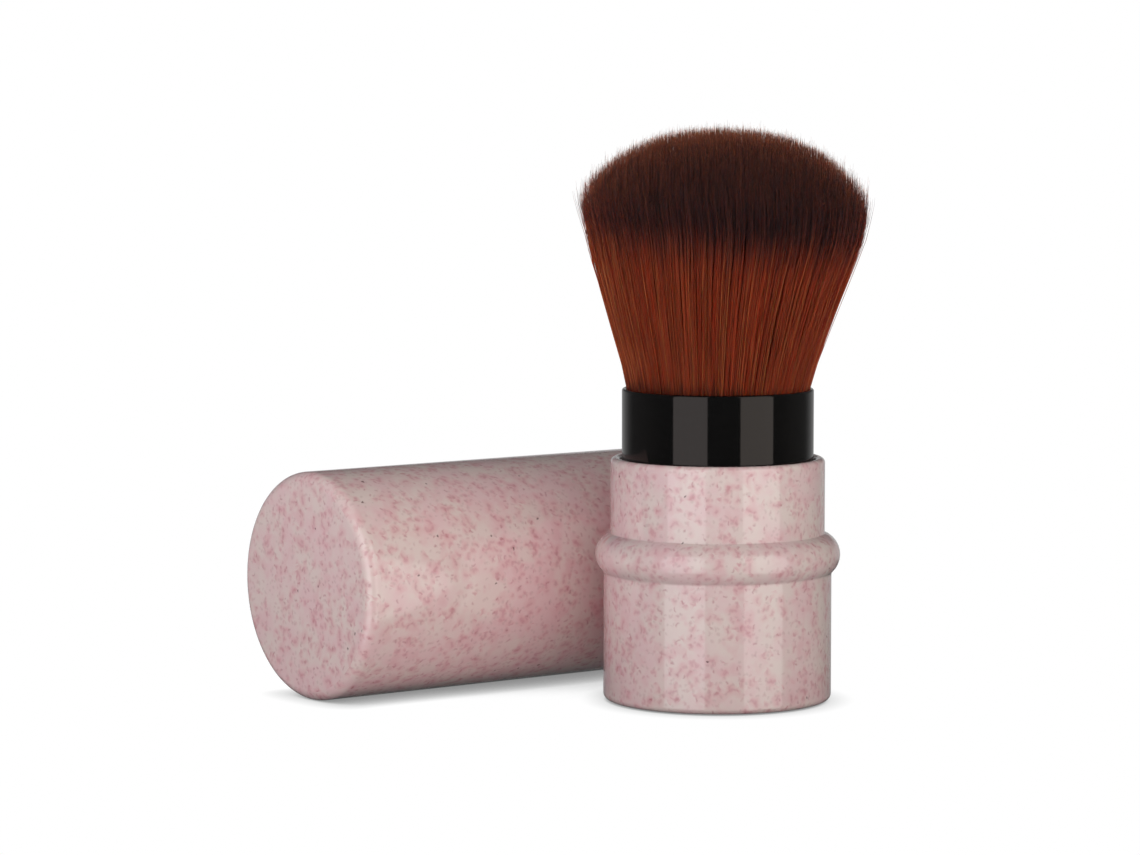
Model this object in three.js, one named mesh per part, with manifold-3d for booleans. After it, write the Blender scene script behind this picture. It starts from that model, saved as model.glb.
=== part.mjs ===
// Retractable makeup brush with its cap taken off. Millimetres, +Z up, origin at the middle of the foot.
// A sleeve slides up a weighted core and over the ferrule, where its collar gathers the bristles.
import * as THREE from 'three';
import { mergeVertices } from 'three/addons/utils/BufferGeometryUtils.js';
import Module from 'manifold-3d';

const wasm = await Module();
wasm.setup();

const pink = 0xcaaba8;
const glossBlack = 0x111112;
const satinBlack = 0x1d1c1d;
const bristleBrown = 0x5c2619;

// Steps in a full turn, in a rounded edge and in a ring's section
const turnSteps = 48;
const smallTurnSteps = 24;
const edgeSteps = 3;
const crownSteps = 5;
const beadSteps = 8;
const sectionSteps = 8;

// Clearances, the reach of a cut past what it cuts, and the distance at which corners become one
const seatGap = 0.3;
const pressGap = 0.15;
const slideGap = 0.15;
const collarGap = 0.3;
const overrun = 1;
const cornerDistance = 0.0001;

// Ferrule: its radius and the walls and steps outside it make every other radius
const ferruleRadius = 15.1;
const ferruleWall = 0.7;
const ferruleRise = 10.85;

// Core: a tube with a piston that runs in the sleeve, and a web that carries the bristle holder
const coreWall = 1.7;
const pistonRise = 1.15;
const pistonTall = 4.2;
const pistonToShoulder = 0.7;
const webBottom = 16;
const webThick = 2;

// Friction ring on the piston
const frictionRingThick = 1.6;

// Keys that stop the sleeve from turning, and their grooves in the sleeve
const keyCount = 2;
const keyWidth = 2.4;
const keyRise = 0.5;
const keyRoot = 0.8;
const keyGap = 0.2;

// Sleeve: body, bead and collar in one moulding
const sleeveWall = 1.6;
const sleeveFloorGap = 0.2;
const sleeveEdge = 1;
const beadHeight = 23.2;
const beadRise = 1.35;
const beadRound = 3.6;
const beadCove = 0.7;
const shoulderDrop = 0.35;
const collarWall = 1.5;
const collarTop = 38.5;
const collarLipOuter = 0.8;
const collarLipInner = 0.5;

// Retaining ring pressed into the sleeve's lower end
const retainerTall = 3;
const retainerRecess = 0.3;

// Foot
const footThick = 2.4;
const footEdge = 0.6;
const footSpigotWall = 1.6;

// Weight, and the screw that holds the bristle holder to the web
const weightTall = 6;
const weightBore = 4;
const screwRadius = 1.4;
const screwReach = 15;
const screwHeadRadius = 2.8;
const screwHeadTall = 2;
const screwSocketRadius = 1.2;
const screwSocketDeep = 1.2;

// Bristle holder
const holderPlateThick = 2;
const holderCeiling = 1.2;
const holderSkirtTall = 10;
const holderSkirtWall = 1.6;
const holderBossRadius = 3.4;

// Bristle head: its knot in the ferrule, then its flare, widest circle and top above the ferrule's rim
const knotRecess = 1.1;
const knotTall = 5.7;
const headFlareRise = 22.5;
const headFlareOut = 6.1;
const headWidestRise = 29;
const headWidestOut = 7.4;
const headRise = 40.9;
const headDomePower = 1.7;
const headLean = 1;
const headLeanTurn = THREE.MathUtils.degToRad(37);

// Strands: their spacing and half widths, and how far their tips vary
const quarters = 4;
const strandSides = 3;
const strandPitch = 1.18;
const strandRoot = 0.42;
const strandBelly = 0.74;
const strandTip = 0.16;
const strandEdgeGap = 0.3;
const strandSunk = 0.6;
const tipVariation = 1.3;
const goldenShare = 0.618034;

// Cap, and where it lies: its closed end's distance from the brush's axis
const capWall = 1;
const capEndWall = 2;
const capEdge = 1.8;
const capInnerEdge = 1.2;
const capMouthEdge = 0.4;
const capSlideGap = 0.2;
const capHeadRoom = 1.5;
const capEndOut = 52.9;

// Derived radii, from the inside out
const ferruleBoreRadius = ferruleRadius - ferruleWall;
const knotRadius = ferruleBoreRadius - seatGap;
const coreRadius = ferruleRadius;
const coreBoreRadius = coreRadius - coreWall;
const innerFitRadius = coreBoreRadius - pressGap;
const pistonRadius = coreRadius + pistonRise;
const boreRadius = pistonRadius + slideGap;
const sleeveRadius = boreRadius + sleeveWall;
const beadRadius = sleeveRadius + beadRise;
const retainerBoreRadius = coreRadius + collarGap;
const collarBoreRadius = ferruleRadius + collarGap;
const collarRadius = collarBoreRadius + collarWall;
const capBoreRadius = collarRadius + capSlideGap;
const capRadius = capBoreRadius + capWall;
const screwHoleRadius = screwRadius + pressGap;

// Bead outline: one arc that starts from a cove on the body and ends on the collar
const beadCentreRadius = beadRadius - beadRound;
const collarAngle = Math.acos((collarRadius - beadCentreRadius) / beadRound);
const collarRoot = beadHeight + beadRound * Math.sin(collarAngle);
const coveAngle = Math.acos((beadCentreRadius - sleeveRadius - beadCove) / (beadRound + beadCove));
const coveBottom = beadHeight - (beadRound + beadCove) * Math.sin(coveAngle);

// Derived heights: the sleeve's shoulder rests on the piston, and the ferrule on the core's shoulder
const sleeveBottom = sleeveFloorGap;
const shoulderHeight = collarRoot - shoulderDrop;
const pistonTop = shoulderHeight - seatGap;
const pistonBottom = pistonTop - pistonTall;
const coreShoulder = pistonTop + pistonToShoulder;
const ferruleBottom = coreShoulder + seatGap;
const ferruleTop = collarTop + ferruleRise;
const knotTop = ferruleTop - knotRecess;
const knotBottom = knotTop - knotTall;
const holderPlateTop = knotBottom - seatGap;
const holderPlateBottom = holderPlateTop - holderPlateThick;
const coreSpigotTop = holderPlateBottom - seatGap;
const coreBottom = footThick + seatGap;
const weightTop = webBottom - seatGap;
const footSpigotTop = weightTop - weightTall - seatGap;

// Derived head
const headFlareHeight = ferruleTop + headFlareRise;
const headWidestHeight = ferruleTop + headWidestRise;
const headTop = ferruleTop + headRise;
const headFlareRadius = ferruleRadius + headFlareOut;
const headRadius = ferruleRadius + headWidestOut;

// Cap's place: it lies along X behind the brush, beside the bead, its mouth towards +X
const capDepth = headTop + capHeadRoom - collarRoot;
const capLength = capDepth + capEndWall;
const capAxisOut = beadRadius + capRadius + seatGap;

// Strand layout: root circle and the circles it follows at the flare and at the widest height
const strandRootRadius = knotRadius - strandEdgeGap - strandRoot / 2;
const strandFlareRadius = headFlareRadius - strandBelly / 2;
const strandWidestRadius = headRadius - strandTip;

function gloss(colour) {
  return new THREE.MeshStandardMaterial({ color: colour, roughness: 0.22, metalness: 0 });
}

function satin(colour) {
  return new THREE.MeshStandardMaterial({ color: colour, roughness: 0.45, metalness: 0 });
}

function steel() {
  return new THREE.MeshStandardMaterial({ color: 0x8f9296, roughness: 0.35, metalness: 1 });
}

function rubber() {
  return new THREE.MeshStandardMaterial({ color: 0x1c1c1e, roughness: 0.8, metalness: 0 });
}

function bristle(colour) {
  return new THREE.MeshStandardMaterial({ color: colour, roughness: 0.6, metalness: 0 });
}

// A point of an outline: distance from the axis, and height
function at(radius, height) {
  return new THREE.Vector2(radius, height);
}

// Points of an elliptical arc about a centre, its ends included
function arc(centreRadius, centreHeight, wide, tall, fromAngle, toAngle, steps) {
  return Array.from({ length: steps + 1 }, (_, i) => {
    const angle = fromAngle + ((toAngle - fromAngle) * i) / steps;
    return at(centreRadius + wide * Math.cos(angle), centreHeight + tall * Math.sin(angle));
  });
}

// A solid of revolution about Z, from an outline that ends on the axis or closes on itself
function turned(outline, steps = turnSteps) {
  return new THREE.LatheGeometry(outline, steps).rotateX(Math.PI / 2);
}

function ringOf(outline, steps = turnSteps) {
  return turned([...outline, outline[0].clone()], steps);
}

// A closed geometry as a manifold solid, and back
function solidOf(geometry) {
  const bare = geometry.clone();
  bare.deleteAttribute('normal');
  bare.deleteAttribute('uv');
  const merged = mergeVertices(bare, cornerDistance);
  const index = merged.index.array;
  const triVerts = [];
  for (let i = 0; i < index.length; i += 3) {
    const [a, b, c] = index.slice(i, i + 3);
    if (a !== b && b !== c && c !== a) {
      triVerts.push(a, b, c);
    }
  }
  const vertProperties = merged.attributes.position.array;
  return new wasm.Manifold(new wasm.Mesh({ numProp: 3, vertProperties, triVerts: new Uint32Array(triVerts) }));
}

function geometryOf(solid) {
  const mesh = solid.getMesh();
  const geometry = new THREE.BufferGeometry();
  geometry.setAttribute('position', new THREE.BufferAttribute(mesh.vertProperties, 3));
  geometry.setIndex(new THREE.BufferAttribute(mesh.triVerts, 1));
  geometry.computeVertexNormals();
  return geometry;
}

// A bar that stands out from the axis, for a key or its groove
function radialBar(width, innerRadius, outerRadius, bottom, top, turn) {
  const bar = new THREE.BoxGeometry(outerRadius - innerRadius, width, top - bottom);
  bar.translate((innerRadius + outerRadius) / 2, 0, (bottom + top) / 2);
  return solidOf(bar.rotateZ(turn));
}

function keyTurns() {
  return Array.from({ length: keyCount }, (_, i) => (2 * Math.PI * i) / keyCount);
}

function outerSleeve() {
  const outline = [
    at(boreRadius, sleeveBottom),
    ...arc(
      sleeveRadius - sleeveEdge, sleeveBottom + sleeveEdge,
      sleeveEdge, sleeveEdge, -Math.PI / 2, 0, crownSteps,
    ),
    ...arc(sleeveRadius + beadCove, coveBottom, beadCove, beadCove, Math.PI, coveAngle, edgeSteps),
    ...arc(beadCentreRadius, beadHeight, beadRound, beadRound, coveAngle - Math.PI, collarAngle, beadSteps),
    ...arc(
      collarRadius - collarLipOuter, collarTop - collarLipOuter,
      collarLipOuter, collarLipOuter, 0, Math.PI / 2, edgeSteps,
    ),
    ...arc(
      collarBoreRadius + collarLipInner, collarTop - collarLipInner,
      collarLipInner, collarLipInner, Math.PI / 2, Math.PI, edgeSteps,
    ),
    at(collarBoreRadius, shoulderHeight),
    at(boreRadius, shoulderHeight),
  ];
  let sleeve = solidOf(ringOf(outline));
  const grooveDepth = boreRadius - slideGap + keyRise + keyGap;
  for (const turn of keyTurns()) {
    const bottom = sleeveBottom - overrun;
    const groove = radialBar(keyWidth + 2 * keyGap, coreRadius, grooveDepth, bottom, shoulderHeight, turn);
    sleeve = sleeve.subtract(groove);
  }
  return geometryOf(sleeve);
}

function retainingRing() {
  const bottom = sleeveBottom + retainerRecess;
  const outer = boreRadius - pressGap;
  return ringOf([
    at(retainerBoreRadius, bottom),
    at(outer, bottom),
    at(outer, bottom + retainerTall),
    at(retainerBoreRadius, bottom + retainerTall),
  ]);
}

function coreTube() {
  const ringMiddle = (pistonBottom + pistonTop) / 2;
  const grooveHalf = frictionRingThick / 2 + pressGap;
  const grooveRadius = pistonRadius - frictionRingThick - pressGap;
  const spigotRadius = ferruleBoreRadius - seatGap;
  const outline = [
    at(coreBoreRadius, coreBottom),
    at(coreRadius, coreBottom),
    at(coreRadius, pistonBottom),
    at(pistonRadius, pistonBottom),
    at(pistonRadius, ringMiddle - grooveHalf),
    at(grooveRadius, ringMiddle - grooveHalf),
    at(grooveRadius, ringMiddle + grooveHalf),
    at(pistonRadius, ringMiddle + grooveHalf),
    at(pistonRadius, pistonTop),
    at(coreRadius, pistonTop),
    at(coreRadius, coreShoulder),
    at(spigotRadius, coreShoulder),
    at(spigotRadius, coreSpigotTop),
    at(coreBoreRadius, coreSpigotTop),
    at(coreBoreRadius, webBottom + webThick),
    at(screwHoleRadius, webBottom + webThick),
    at(screwHoleRadius, webBottom),
    at(coreBoreRadius, webBottom),
  ];
  let core = solidOf(ringOf(outline));
  for (const turn of keyTurns()) {
    const keyTop = ringMiddle - grooveHalf;
    core = core.add(radialBar(keyWidth, coreRadius - keyRoot, pistonRadius + keyRise, pistonBottom, keyTop, turn));
  }
  return geometryOf(core);
}

function frictionRing() {
  const half = frictionRingThick / 2;
  const section = [];
  for (let i = 0; i < sectionSteps; i += 1) {
    const angle = (2 * Math.PI * i) / sectionSteps;
    section.push(at(pistonRadius - half + half * Math.cos(angle), half * Math.sin(angle)));
  }
  return ringOf(section);
}

function ferrule() {
  const rim = ferruleWall / 2;
  return ringOf([
    at(ferruleBoreRadius, ferruleBottom),
    at(ferruleRadius, ferruleBottom),
    ...arc(ferruleBoreRadius + rim, ferruleTop - rim, rim, rim, 0, Math.PI, crownSteps),
  ]);
}

function foot() {
  const spigotBore = innerFitRadius - footSpigotWall;
  return turned([
    at(0, 0),
    ...arc(coreRadius - footEdge, footEdge, footEdge, footEdge, -Math.PI / 2, 0, edgeSteps),
    at(coreRadius, footThick),
    at(innerFitRadius, footThick),
    at(innerFitRadius, footSpigotTop),
    at(spigotBore, footSpigotTop),
    at(spigotBore, footThick),
    at(0, footThick),
  ]);
}

function weightRing() {
  return ringOf([
    at(weightBore, weightTop - weightTall),
    at(innerFitRadius, weightTop - weightTall),
    at(innerFitRadius, weightTop),
    at(weightBore, weightTop),
  ]);
}

function holderScrew() {
  const headTopHeight = webBottom - seatGap;
  const headBottom = headTopHeight - screwHeadTall;
  return turned([
    at(0, headBottom + screwSocketDeep),
    at(screwSocketRadius, headBottom + screwSocketDeep),
    at(screwSocketRadius, headBottom),
    at(screwHeadRadius, headBottom),
    at(screwHeadRadius, headTopHeight),
    at(screwRadius, headTopHeight),
    at(screwRadius, headTopHeight + screwReach),
    at(0, headTopHeight + screwReach),
  ], smallTurnSteps);
}

function bristleHolder() {
  const bossBottom = webBottom + webThick + seatGap;
  const holeTop = webBottom - seatGap + screwReach + seatGap;
  const ceiling = holderPlateBottom - holderCeiling;
  const skirtBottom = holderPlateBottom - holderSkirtTall;
  const skirtBore = innerFitRadius - holderSkirtWall;
  return turned([
    at(0, holeTop),
    at(screwHoleRadius, holeTop),
    at(screwHoleRadius, bossBottom),
    at(holderBossRadius, bossBottom),
    at(holderBossRadius, ceiling),
    at(skirtBore, ceiling),
    at(skirtBore, skirtBottom),
    at(innerFitRadius, skirtBottom),
    at(innerFitRadius, holderPlateBottom),
    at(knotRadius, holderPlateBottom),
    at(knotRadius, holderPlateTop),
    at(0, holderPlateTop),
  ]);
}

// A quarter slice of the glued knot, its cut faces half a seat gap from the quarter's planes
function knotSlice(quarter) {
  const inset = seatGap / 2;
  const slack = Math.asin(inset / knotRadius);
  const slice = new THREE.Shape([
    at(inset, inset),
    ...arc(0, 0, knotRadius, knotRadius, slack, Math.PI / 2 - slack, turnSteps / quarters),
  ]);
  const geometry = new THREE.ExtrudeGeometry(slice, { depth: knotTop - knotBottom, bevelEnabled: false });
  return geometry.translate(0, 0, knotBottom).rotateZ((quarter * Math.PI) / 2);
}

// Height of the head's dome at a share of the head's radius
function domeHeight(share) {
  const rise = (1 - share ** headDomePower) ** (1 / headDomePower);
  return headWidestHeight + (headTop - headWidestHeight) * rise;
}

// One ring of a strand: its centre leans with height, and one corner points at the axis
function strandRing(turn, radius, height, halfWidth) {
  const lean = headLean * Math.sqrt(Math.max(0, height - knotTop) / (headTop - knotTop));
  const centreX = radius * Math.cos(turn) + lean * Math.cos(headLeanTurn);
  const centreY = radius * Math.sin(turn) - lean * Math.sin(headLeanTurn);
  return Array.from({ length: strandSides }, (_, side) => {
    const angle = turn + Math.PI + (2 * Math.PI * side) / strandSides;
    return [centreX + halfWidth * Math.cos(angle), centreY + halfWidth * Math.sin(angle), height];
  });
}

// All strands of one quarter as one set of closed prisms
function strandSet(quarter) {
  const corners = [];
  const faces = [];
  const circles = Math.floor(strandRootRadius / strandPitch);
  let number = quarter;
  for (let circle = 0; circle <= circles; circle += 1) {
    const rootRadius = strandRootRadius - circle * strandPitch;
    const share = rootRadius / strandRootRadius;
    const count = Math.max(1, Math.round((rootRadius * Math.PI) / 2 / strandPitch));
    for (let i = 0; i < count; i += 1) {
      number += 1;
      const turn = ((quarter + (i + 0.5) / count) * Math.PI) / 2;
      const shortening = tipVariation * ((number * goldenShare) % 1);
      const first = corners.length;
      corners.push(
        ...strandRing(turn, rootRadius, knotTop - strandSunk, strandRoot),
        ...strandRing(turn, share * strandFlareRadius, headFlareHeight, strandBelly),
        ...strandRing(turn, share * strandWidestRadius, domeHeight(share) - shortening, strandTip),
      );
      faces.push(...prismFaces(first));
    }
  }
  const geometry = new THREE.BufferGeometry();
  geometry.setAttribute('position', new THREE.Float32BufferAttribute(corners.flat(), 3));
  geometry.setIndex(faces);
  return geometry;
}

// Faces of a prism of three rings, with its two end faces
function prismFaces(first) {
  const faces = [];
  const rings = 3;
  const last = first + (rings - 1) * strandSides;
  for (let ring = 0; ring < rings - 1; ring += 1) {
    for (let side = 0; side < strandSides; side += 1) {
      const low = first + ring * strandSides + side;
      const nextLow = first + ring * strandSides + ((side + 1) % strandSides);
      faces.push(low, nextLow, nextLow + strandSides);
      faces.push(low, nextLow + strandSides, low + strandSides);
    }
  }
  faces.push(first, first + 2, first + 1);
  faces.push(last, last + 1, last + 2);
  return faces;
}

function bristleQuarter(quarter) {
  const slice = solidOf(knotSlice(quarter));
  return geometryOf(slice.add(solidOf(strandSet(quarter))));
}

// The cap stands on its mouth here, and is laid down where it is placed
function capShell() {
  const ceiling = capLength - capEndWall;
  return turned([
    at(0, ceiling),
    ...arc(
      capBoreRadius - capInnerEdge, ceiling - capInnerEdge,
      capInnerEdge, capInnerEdge, Math.PI / 2, 0, edgeSteps,
    ),
    ...arc(capBoreRadius + capMouthEdge, capMouthEdge, capMouthEdge, capMouthEdge, Math.PI, 1.5 * Math.PI, edgeSteps),
    ...arc(capRadius - capMouthEdge, capMouthEdge, capMouthEdge, capMouthEdge, -Math.PI / 2, 0, edgeSteps),
    ...arc(capRadius - capEdge, capLength - capEdge, capEdge, capEdge, 0, Math.PI / 2, crownSteps),
    at(0, capLength),
  ]);
}

function place(name, geometry, material, parent) {
  const mesh = new THREE.Mesh(geometry, material);
  mesh.name = name;
  parent.add(mesh);
  return mesh;
}

const brush = new THREE.Group();
const core = new THREE.Group();
const sleeve = new THREE.Group();
brush.add(core, sleeve);

place('end_plate', foot(), gloss(pink), core);
place('core_tube', coreTube(), satin(satinBlack), core);
place('weight_ring', weightRing(), steel(), core);
place('holder_screw', holderScrew(), steel(), core);
place('bristle_holder', bristleHolder(), satin(satinBlack), core);
place('ferrule', ferrule(), gloss(glossBlack), core);
const ring = place('friction_ring', frictionRing(), rubber(), core);
ring.position.z = (pistonBottom + pistonTop) / 2;
for (let quarter = 0; quarter < quarters; quarter += 1) {
  place(`bristles_${quarter + 1}`, bristleQuarter(quarter), bristle(bristleBrown), core);
}

place('outer_sleeve', outerSleeve(), gloss(pink), sleeve);
place('retaining_ring', retainingRing(), satin(satinBlack), sleeve);

const cap = place('cap_shell', capShell(), gloss(pink), brush);
cap.rotation.y = -Math.PI / 2;
cap.position.set(capLength - capEndOut, capAxisOut, capRadius);

export default brush;
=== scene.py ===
# Looks of the retractable makeup brush: speckled pink sleeve and cap, gloss black ferrule, two-tone bristles.
# Sizes are in millimetres, in the frame's axes, and MM turns them into Blender's metres.
import math
import bpy
import numpy as np
from mathutils import Matrix, Vector


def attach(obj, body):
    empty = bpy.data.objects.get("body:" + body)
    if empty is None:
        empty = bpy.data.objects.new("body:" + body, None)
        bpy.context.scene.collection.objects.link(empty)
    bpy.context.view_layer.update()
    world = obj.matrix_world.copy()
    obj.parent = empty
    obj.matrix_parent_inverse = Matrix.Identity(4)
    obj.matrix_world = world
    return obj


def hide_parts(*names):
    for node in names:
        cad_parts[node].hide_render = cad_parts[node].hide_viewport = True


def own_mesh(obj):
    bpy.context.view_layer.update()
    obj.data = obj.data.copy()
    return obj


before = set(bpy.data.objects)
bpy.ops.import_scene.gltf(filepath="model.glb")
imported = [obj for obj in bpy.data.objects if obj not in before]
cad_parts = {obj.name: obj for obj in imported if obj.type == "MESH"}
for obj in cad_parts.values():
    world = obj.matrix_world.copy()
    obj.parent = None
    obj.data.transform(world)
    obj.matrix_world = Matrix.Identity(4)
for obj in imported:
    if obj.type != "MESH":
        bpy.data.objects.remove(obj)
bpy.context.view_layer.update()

MM = 0.001
TAU = 2 * math.pi
WHITE = (1.0, 1.0, 1.0, 1.0)
BLACK = (0.0, 0.0, 0.0, 1.0)

# Smoothness: steps round a turned piece, angle above which an edge stays sharp, and an arc's longest step
TURN_STEPS = 192
SHARP_ANGLE = math.radians(35)
ROUND_STEP = math.radians(12)

# A point nearer the axis than this is on it, and an outline flatter than this slope is mapped from above
ON_AXIS = 1e-6
LEVEL_SLOPE = 0.1

# Clearances
SEAT_GAP = 0.3
PRESS_GAP = 0.15
SLIDE_GAP = 0.15
COLLAR_GAP = 0.3

# Ferrule and core
FERRULE_RADIUS = 15.1
FERRULE_WALL = 0.7
FERRULE_RISE = 10.85
FERRULE_CURL = 0.34
CORE_WALL = 1.7
PISTON_RISE = 1.15
PISTON_TALL = 4.2
PISTON_TO_SHOULDER = 0.7
WEB_BOTTOM = 16.0
WEB_THICK = 2.0
FRICTION_RING_THICK = 1.6
KEY_COUNT = 2
KEY_WIDTH = 2.4
KEY_RISE = 0.5
KEY_ROOT = 0.8
KEY_GAP = 0.2

# Sleeve
SLEEVE_WALL = 1.6
SLEEVE_FLOOR_GAP = 0.2
SLEEVE_EDGE = 1.0
BEAD_HEIGHT = 23.2
BEAD_RISE = 1.35
BEAD_ROUND = 3.6
BEAD_COVE = 0.7
BEAD_UPPER_COVE = 0.25
SHOULDER_DROP = 0.35
COLLAR_WALL = 1.5
COLLAR_TOP = 38.5
COLLAR_LIP_OUTER = 0.8
COLLAR_LIP_INNER = 0.5
RETAINER_TALL = 3.0
RETAINER_RECESS = 0.3

# Foot, weight, screw and bristle holder
FOOT_THICK = 2.4
FOOT_EDGE = 0.6
FOOT_SPIGOT_WALL = 1.6
WEIGHT_TALL = 6.0
WEIGHT_BORE = 4.0
SCREW_RADIUS = 1.4
SCREW_REACH = 15.0
SCREW_HEAD_RADIUS = 2.8
SCREW_HEAD_TALL = 2.0
SCREW_SOCKET_RADIUS = 1.2
SCREW_SOCKET_DEEP = 1.2
HOLDER_PLATE_THICK = 2.0
HOLDER_CEILING = 1.2
HOLDER_SKIRT_TALL = 10.0
HOLDER_SKIRT_WALL = 1.6
HOLDER_BOSS_RADIUS = 3.4

# Rounding of the small edges, and of the friction ring as a share of half its thickness
SMALL_EDGE = 0.2
FRICTION_RING_ROUND = 0.96

# Cap
CAP_WALL = 1.0
CAP_END_WALL = 2.0
CAP_EDGE = 1.8
CAP_INNER_EDGE = 1.2
CAP_MOUTH_EDGE = 0.4
CAP_SLIDE_GAP = 0.2
CAP_HEAD_ROOM = 1.5
CAP_END_OUT = 52.9

# Bristle head
KNOT_RECESS = 1.1
KNOT_TALL = 5.7
HEAD_FLARE_RISE = 22.5
HEAD_FLARE_OUT = 6.1
HEAD_WIDEST_RISE = 29.0
HEAD_WIDEST_OUT = 7.4
HEAD_RISE = 40.9
HEAD_DOME_POWER = 2.4
HEAD_DOME_ROUND = 0.72
HEAD_LEAN_TURN = math.radians(-37)
HEAD_LEAN_RISES = (0.0, 10.5, 24.5, 31.5)
HEAD_LEANS = (0.3, 0.6, 1.25, 0.6)
HEAD_LEAN_POWER = 0.5

# Derived radii, from the inside out
FERRULE_BORE_RADIUS = FERRULE_RADIUS - FERRULE_WALL
KNOT_RADIUS = FERRULE_BORE_RADIUS - SEAT_GAP
CORE_BORE_RADIUS = FERRULE_RADIUS - CORE_WALL
INNER_FIT_RADIUS = CORE_BORE_RADIUS - PRESS_GAP
PISTON_RADIUS = FERRULE_RADIUS + PISTON_RISE
BORE_RADIUS = PISTON_RADIUS + SLIDE_GAP
SLEEVE_RADIUS = BORE_RADIUS + SLEEVE_WALL
BEAD_RADIUS = SLEEVE_RADIUS + BEAD_RISE
RETAINER_BORE_RADIUS = FERRULE_RADIUS + COLLAR_GAP
COLLAR_BORE_RADIUS = FERRULE_RADIUS + COLLAR_GAP
COLLAR_RADIUS = COLLAR_BORE_RADIUS + COLLAR_WALL
CAP_BORE_RADIUS = COLLAR_RADIUS + CAP_SLIDE_GAP
CAP_RADIUS = CAP_BORE_RADIUS + CAP_WALL
SCREW_HOLE_RADIUS = SCREW_RADIUS + PRESS_GAP

# Bead: one round arc that a small cove leads into from below, and a smaller one from above
BEAD_CENTRE_RADIUS = BEAD_RADIUS - BEAD_ROUND
COLLAR_TURN = math.acos((COLLAR_RADIUS - BEAD_CENTRE_RADIUS) / BEAD_ROUND)
COLLAR_ROOT = BEAD_HEIGHT + BEAD_ROUND * math.sin(COLLAR_TURN)
COVE_TURN = math.acos((BEAD_CENTRE_RADIUS - SLEEVE_RADIUS - BEAD_COVE) / (BEAD_ROUND + BEAD_COVE))
COVE_HEIGHT = BEAD_HEIGHT - (BEAD_ROUND + BEAD_COVE) * math.sin(COVE_TURN)
UPPER_COVE_RADIUS = COLLAR_RADIUS + BEAD_UPPER_COVE
UPPER_COVE_TURN = math.acos((UPPER_COVE_RADIUS - BEAD_CENTRE_RADIUS) / (BEAD_ROUND + BEAD_UPPER_COVE))
UPPER_COVE_HEIGHT = BEAD_HEIGHT + (BEAD_ROUND + BEAD_UPPER_COVE) * math.sin(UPPER_COVE_TURN)

# Derived heights
SHOULDER_HEIGHT = COLLAR_ROOT - SHOULDER_DROP
PISTON_TOP = SHOULDER_HEIGHT - SEAT_GAP
PISTON_BOTTOM = PISTON_TOP - PISTON_TALL
CORE_SHOULDER = PISTON_TOP + PISTON_TO_SHOULDER
FERRULE_BOTTOM = CORE_SHOULDER + SEAT_GAP
FERRULE_TOP = COLLAR_TOP + FERRULE_RISE
KNOT_TOP = FERRULE_TOP - KNOT_RECESS
KNOT_BOTTOM = KNOT_TOP - KNOT_TALL
PLATE_TOP = KNOT_BOTTOM - SEAT_GAP
PLATE_BOTTOM = PLATE_TOP - HOLDER_PLATE_THICK
CORE_SPIGOT_TOP = PLATE_BOTTOM - SEAT_GAP
CORE_BOTTOM = FOOT_THICK + SEAT_GAP
WEIGHT_TOP = WEB_BOTTOM - SEAT_GAP
FOOT_SPIGOT_TOP = WEIGHT_TOP - WEIGHT_TALL - SEAT_GAP
RING_MIDDLE = (PISTON_BOTTOM + PISTON_TOP) / 2
HEAD_FLARE_HEIGHT = FERRULE_TOP + HEAD_FLARE_RISE
HEAD_FLARE_RADIUS = FERRULE_RADIUS + HEAD_FLARE_OUT
HEAD_WIDEST_HEIGHT = FERRULE_TOP + HEAD_WIDEST_RISE
HEAD_RADIUS = FERRULE_RADIUS + HEAD_WIDEST_OUT
HEAD_TOP = FERRULE_TOP + HEAD_RISE
CAP_LENGTH = HEAD_TOP + CAP_HEAD_ROOM - COLLAR_ROOT + CAP_END_WALL
CAP_AXIS_OUT = BEAD_RADIUS + CAP_RADIUS + SEAT_GAP

# Hair: fine tubes in sectors. Their rings crowd towards the tip, and there a hair thins
HAIR_COUNT = 25000
HAIR_SECTORS = 12
HAIR_SIDES = 3
HAIR_RINGS = 9
HAIR_STEP_POWER = 1.6
HAIR_RADIUS = 0.055
HAIR_TIP_RADIUS = 0.008
HAIR_TAPER_SHARE = 0.7
HAIR_TAPER_POWER = 1.3
HAIR_ROOT_RADIUS = 13.9
HAIR_RIM_RADIUS = 14.2
HAIR_SUNK = 1.0
HAIR_LOW_DOME = 0.3
HAIR_TIP_JITTER = 0.4
HAIR_SIDE_JITTER = 0.6
HAIR_SPREAD_JITTER = 0.14
HAIR_SPREAD_POWER = 2
HAIR_WAVE = 0.14
HAIR_WOBBLE = 0.01
HAIR_STRAY_SHARE = 0.028
HAIR_STRAY_REACH = 2.2
HAIR_STRAY_POWER = 1.6
HAIR_STRAY_RISE = 0.9
HAIR_SEED = 7

# Hair near the head's side is wilder: a share of the radius to this power, and how much more it spreads
HAIR_OUTER_POWER = 8
HAIR_OUTER_SPREAD = 2

# Clumps: their pull rises and falls along the hair, and ends before the tip
CLUMP_COUNT = 700
CLUMP_WOBBLE = 0.05
CLUMP_PULL = 0.09
CLUMP_OPENS = 1.15
CLUMP_POWER = 1.5

# The turn that spreads hair roots evenly
GOLDEN_TURN = TAU * 0.381966

# Dye: the bristles turn from rust to dark across a tilted line. Their last stretch is painted redder, a
# painted glow of light through the thin tips
DYE_HEIGHT = 71.8
DYE_TILT = 1.4
DYE_TILT_TURN = math.radians(-60)
DYE_FADE = 4.5
DYE_JITTER = 1.2
DYE_REACH = 5.5
DYE_MAP_SHARE = 0.75
TIP_LENGTH = 1.5
TIP_MAP_START = 0.94

# Shade on the hair just above the ferrule's rim: its strength, and how high it reaches
RIM_SHADE = 0.75
RIM_SHADE_RISE = 2.2
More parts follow.
